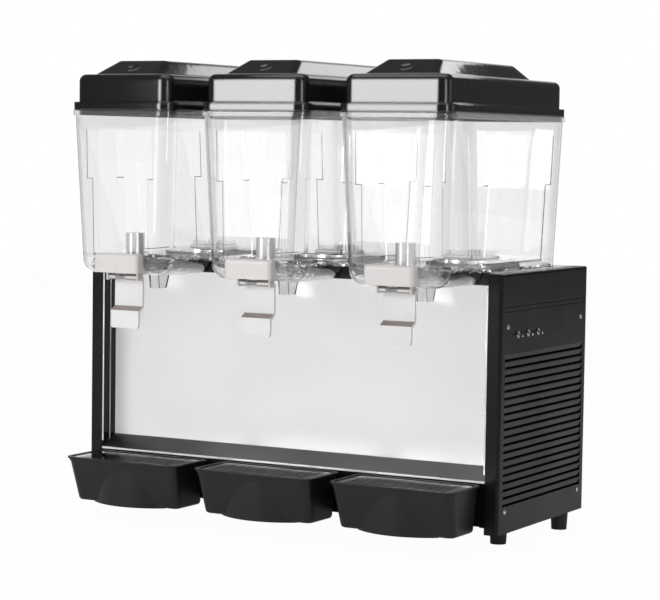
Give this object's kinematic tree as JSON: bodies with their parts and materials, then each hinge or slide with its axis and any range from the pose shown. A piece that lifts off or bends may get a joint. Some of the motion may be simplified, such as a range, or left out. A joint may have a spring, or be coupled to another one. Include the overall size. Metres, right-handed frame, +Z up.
{
  "type": "juice dispenser",
  "caption": "Chilled drinks dispenser: clear lidded bowls side by side on a cooled cabinet, push levers in front and drip trays with grilles below.",
  "frame": {"origin": "on the floor, midway between the tap fronts and the cabinet's back", "axes": "+X along the row of bowls, +Y from the taps to the back, +Z up"},
  "size_m": [0.6706, 0.4, 0.658],
  "materials": {
    "black_gloss": "gloss",
    "clear_bowl": "clear, polished",
    "white_plastic": "satin",
    "steel": "satin",
    "stirrer_plastic": "satin",
    "motor_case": "matte",
    "magnet": "matte",
    "black_tray": "satin",
    "grille_steel": "polished",
    "switch_metal": "polished",
    "gasket": "matte",
    "black_panel": "satin",
    "mirror_steel": "mirror polished",
    "galvanised": "galvanised",
    "foot_rubber": "matte",
    "compressor_paint": "satin",
    "condenser_fins": "satin",
    "copper": "satin",
    "grey_plastic": "matte",
    "black_plastic": "matte"
  },
  "bodies": {
    "cabinet": {"bowl_gaskets": "gasket", "side_panel_left": "black_panel", "side_panel_right": "black_panel", "lower_front_panel": "black_panel", "base_pan": "galvanised", "rear_panel": "black_panel", "front_panel": "mirror_steel", "top_deck": "steel", "feet": "foot_rubber", "panel_screws": "switch_metal", "compressor": "compressor_paint", "condenser": "condenser_fins", "fan_motor": "motor_case", "pipework": "copper", "control_box": "grey_plastic", "power_inlet": "black_plastic", "switch_bodies": "switch_metal", "cold_plate_1": "steel", "stirrer_motor_1": "motor_case", "cold_plate_2": "steel", "stirrer_motor_2": "motor_case", "cold_plate_3": "steel", "stirrer_motor_3": "motor_case"},
    "bowl_1_assembly": {"bowl_1": "clear_bowl", "tap_cover_1": "white_plastic", "tap_pin_1": "steel", "tap_spring_1": "steel"},
    "lid_1_body": {"lid_1": "black_gloss"},
    "lever_1": {"tap_lever_1": "white_plastic"},
    "plunger_1": {"valve_plunger_1": "steel"},
    "magnet_1": {"drive_magnet_1": "magnet"},
    "stirrer_1_body": {"stirrer_1": "stirrer_plastic"},
    "tray_1": {"drip_tray_1": "black_tray"},
    "grille_1": {"drip_grille_1": "grille_steel"},
    "toggle_1": {"switch_lever_1": "switch_metal"},
    "bowl_2_assembly": {"bowl_2": "clear_bowl", "tap_cover_2": "white_plastic", "tap_pin_2": "steel", "tap_spring_2": "steel"},
    "lid_2_body": {"lid_2": "black_gloss"},
    "lever_2": {"tap_lever_2": "white_plastic"},
    "plunger_2": {"valve_plunger_2": "steel"},
    "magnet_2": {"drive_magnet_2": "magnet"},
    "stirrer_2_body": {"stirrer_2": "stirrer_plastic"},
    "tray_2": {"drip_tray_2": "black_tray"},
    "grille_2": {"drip_grille_2": "grille_steel"},
    "toggle_2": {"switch_lever_2": "switch_metal"},
    "bowl_3_assembly": {"bowl_3": "clear_bowl", "tap_cover_3": "white_plastic", "tap_pin_3": "steel", "tap_spring_3": "steel"},
    "lid_3_body": {"lid_3": "black_gloss"},
    "lever_3": {"tap_lever_3": "white_plastic"},
    "plunger_3": {"valve_plunger_3": "steel"},
    "magnet_3": {"drive_magnet_3": "magnet"},
    "stirrer_3_body": {"stirrer_3": "stirrer_plastic"},
    "tray_3": {"drip_tray_3": "black_tray"},
    "grille_3": {"drip_grille_3": "grille_steel"},
    "toggle_3": {"switch_lever_3": "switch_metal"},
    "fan": {"condenser_fan": "motor_case"}
  },
  "joints": [
    {"name": "bowl_1_lift", "type": "slide", "parent": "cabinet", "child": "bowl_1_assembly", "axis": [0, 0, 1], "range_m": [0, 0.05]},
    {"name": "lid_1_lift", "type": "slide", "parent": "bowl_1_assembly", "child": "lid_1_body", "axis": [0, 0, 1], "range_m": [0, 0.06]},
    {"name": "lever_1_push", "type": "hinge", "parent": "bowl_1_assembly", "child": "lever_1", "pos_m": [-0.215, -0.176, 0.354], "axis": [1, 0, 0], "range_deg": [0, 14], "stiffness_Nm_per_rad": 0.3, "springref_deg": -28.65},
    {"name": "valve_1_lift", "type": "slide", "parent": "bowl_1_assembly", "child": "plunger_1", "axis": [0, 0, 1], "range_m": [0, 0.007]},
    {"name": "magnet_1_spin", "type": "hinge", "parent": "cabinet", "child": "magnet_1", "pos_m": [-0.215, 0.058, 0.383], "axis": [0, 0, 1], "continuous": true},
    {"name": "stirrer_1_spin", "type": "hinge", "parent": "cabinet", "child": "stirrer_1_body", "pos_m": [-0.215, 0.058, 0.39], "axis": [0, 0, 1], "continuous": true},
    {"name": "tray_1_pull", "type": "slide", "parent": "cabinet", "child": "tray_1", "axis": [0, -1, 0], "range_m": [0, 0.12]},
    {"name": "grille_1_lift", "type": "slide", "parent": "tray_1", "child": "grille_1", "axis": [0, 0, 1], "range_m": [0, 0.05]},
    {"name": "switch_1_flip", "type": "hinge", "parent": "cabinet", "child": "toggle_1", "pos_m": [0.3308, -0.04, 0.292], "axis": [0, -1, 0], "range_deg": [0, 24]},
    {"name": "bowl_2_lift", "type": "slide", "parent": "cabinet", "child": "bowl_2_assembly", "axis": [0, 0, 1], "range_m": [0, 0.05]},
    {"name": "lid_2_lift", "type": "slide", "parent": "bowl_2_assembly", "child": "lid_2_body", "axis": [0, 0, 1], "range_m": [0, 0.06]},
    {"name": "lever_2_push", "type": "hinge", "parent": "bowl_2_assembly", "child": "lever_2", "pos_m": [0, -0.176, 0.354], "axis": [1, 0, 0], "range_deg": [0, 14], "stiffness_Nm_per_rad": 0.3, "springref_deg": -28.65},
    {"name": "valve_2_lift", "type": "slide", "parent": "bowl_2_assembly", "child": "plunger_2", "axis": [0, 0, 1], "range_m": [0, 0.007]},
    {"name": "magnet_2_spin", "type": "hinge", "parent": "cabinet", "child": "magnet_2", "pos_m": [0, 0.058, 0.383], "axis": [0, 0, 1], "continuous": true},
    {"name": "stirrer_2_spin", "type": "hinge", "parent": "cabinet", "child": "stirrer_2_body", "pos_m": [0, 0.058, 0.39], "axis": [0, 0, 1], "continuous": true},
    {"name": "tray_2_pull", "type": "slide", "parent": "cabinet", "child": "tray_2", "axis": [0, -1, 0], "range_m": [0, 0.12]},
    {"name": "grille_2_lift", "type": "slide", "parent": "tray_2", "child": "grille_2", "axis": [0, 0, 1], "range_m": [0, 0.05]},
    {"name": "switch_2_flip", "type": "hinge", "parent": "cabinet", "child": "toggle_2", "pos_m": [0.3308, -0.007, 0.292], "axis": [0, -1, 0], "range_deg": [0, 24]},
    {"name": "bowl_3_lift", "type": "slide", "parent": "cabinet", "child": "bowl_3_assembly", "axis": [0, 0, 1], "range_m": [0, 0.05]},
    {"name": "lid_3_lift", "type": "slide", "parent": "bowl_3_assembly", "child": "lid_3_body", "axis": [0, 0, 1], "range_m": [0, 0.06]},
    {"name": "lever_3_push", "type": "hinge", "parent": "bowl_3_assembly", "child": "lever_3", "pos_m": [0.215, -0.176, 0.354], "axis": [1, 0, 0], "range_deg": [0, 14], "stiffness_Nm_per_rad": 0.3, "springref_deg": -28.65},
    {"name": "valve_3_lift", "type": "slide", "parent": "bowl_3_assembly", "child": "plunger_3", "axis": [0, 0, 1], "range_m": [0, 0.007]},
    {"name": "magnet_3_spin", "type": "hinge", "parent": "cabinet", "child": "magnet_3", "pos_m": [0.215, 0.058, 0.383], "axis": [0, 0, 1], "continuous": true},
    {"name": "stirrer_3_spin", "type": "hinge", "parent": "cabinet", "child": "stirrer_3_body", "pos_m": [0.215, 0.058, 0.39], "axis": [0, 0, 1], "continuous": true},
    {"name": "tray_3_pull", "type": "slide", "parent": "cabinet", "child": "tray_3", "axis": [0, -1, 0], "range_m": [0, 0.12]},
    {"name": "grille_3_lift", "type": "slide", "parent": "tray_3", "child": "grille_3", "axis": [0, 0, 1], "range_m": [0, 0.05]},
    {"name": "switch_3_flip", "type": "hinge", "parent": "cabinet", "child": "toggle_3", "pos_m": [0.3308, 0.026, 0.292], "axis": [0, -1, 0], "range_deg": [0, 24]},
    {"name": "fan_spin", "type": "hinge", "parent": "cabinet", "child": "fan", "pos_m": [0.2, 0.063, 0.132], "axis": [1, 0, 0], "continuous": true}
  ],
  "couplings": [
    {"joint": "valve_1_lift", "follows": "lever_1_push", "m_per_rad": 0.028},
    {"joint": "stirrer_1_spin", "follows": "magnet_1_spin", "ratio": 1},
    {"joint": "valve_2_lift", "follows": "lever_2_push", "m_per_rad": 0.028},
    {"joint": "stirrer_2_spin", "follows": "magnet_2_spin", "ratio": 1},
    {"joint": "valve_3_lift", "follows": "lever_3_push", "m_per_rad": 0.028},
    {"joint": "stirrer_3_spin", "follows": "magnet_3_spin", "ratio": 1}
  ]
}
